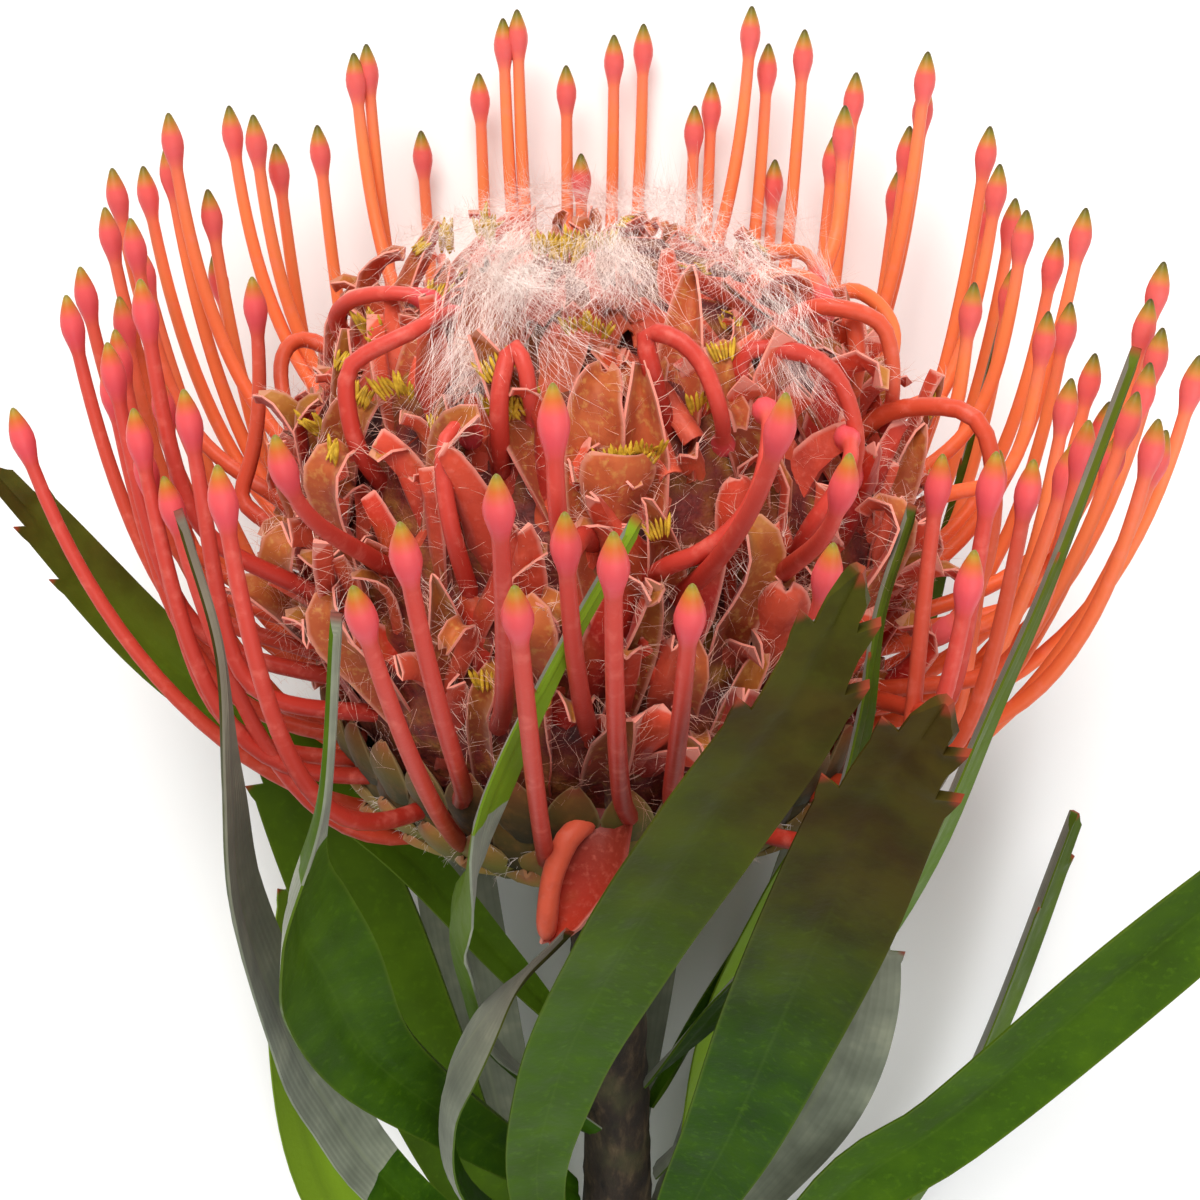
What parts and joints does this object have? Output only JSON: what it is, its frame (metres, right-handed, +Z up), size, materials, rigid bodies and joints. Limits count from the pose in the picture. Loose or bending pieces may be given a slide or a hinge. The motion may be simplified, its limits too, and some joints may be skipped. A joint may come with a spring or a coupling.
{
  "type": "pincushion protea flower",
  "caption": "Cut pincushion protea bloom lying on its side: woody stem, long toothed leaves and a domed orange-red head ringed by long pin-like styles.",
  "frame": {"origin": "centre of the footprint of the flower's bounding box, on the surface that the flower lies on", "axes": "+Y along the flower, from the cut end of the stem towards the top of the head; +Z up from the surface; +X across the flower, to the right as seen from above with the head at the top"},
  "size_m": [0.1328, 0.1936, 0.0947],
  "materials": {
    "stem_bark": "dark, rough, matte bark",
    "floret": "satin crimson petal tissue with silky hairs",
    "bract": "matte yellow-green, downy",
    "style": "waxy, slightly translucent coral red",
    "leaf": "leathery satin green with red-tipped teeth",
    "leaf_underside": "matte downy grey-green",
    "anther": "powdery yellow",
    "wool": "fine silky white hairs"
  },
  "bodies": {
    "root": {"stem": "stem_bark", "floret_head": "floret", "involucre": "bract", "style_01": "style", "style_02": "style", "style_03": "style", "style_04": "style", "style_05": "style", "style_06": "style", "style_07": "style", "style_08": "style", "style_09": "style", "style_10": "style", "style_11": "style", "style_12": "style", "style_13": "style", "style_14": "style", "style_15": "style", "style_16": "style", "style_17": "style", "style_18": "style", "style_19": "style", "style_20": "style", "style_21": "style", "style_22": "style", "style_23": "style", "style_24": "style", "style_25": "style", "style_26": "style", "style_27": "style", "style_28": "style", "style_29": "style", "style_30": "style", "style_31": "style", "style_32": "style", "style_33": "style", "style_34": "style", "style_35": "style", "style_36": "style", "style_37": "style", "style_38": "style", "leaf_01": "leaf", "leaf_02": "leaf", "leaf_03": "leaf", "leaf_04": "leaf", "leaf_05": "leaf", "leaf_06": "leaf", "leaf_07": "leaf", "leaf_08": "leaf", "leaf_09": "leaf", "leaf_10": "leaf", "leaf_11": "leaf", "leaf_12": "leaf", "leaf_13": "leaf", "leaf_14": "leaf", "leaf_15": "leaf", "leaf_16": "leaf", "leaf_17": "leaf", "leaf_18": "leaf", "leaf_19": "leaf"}
  },
  "joints": []
}
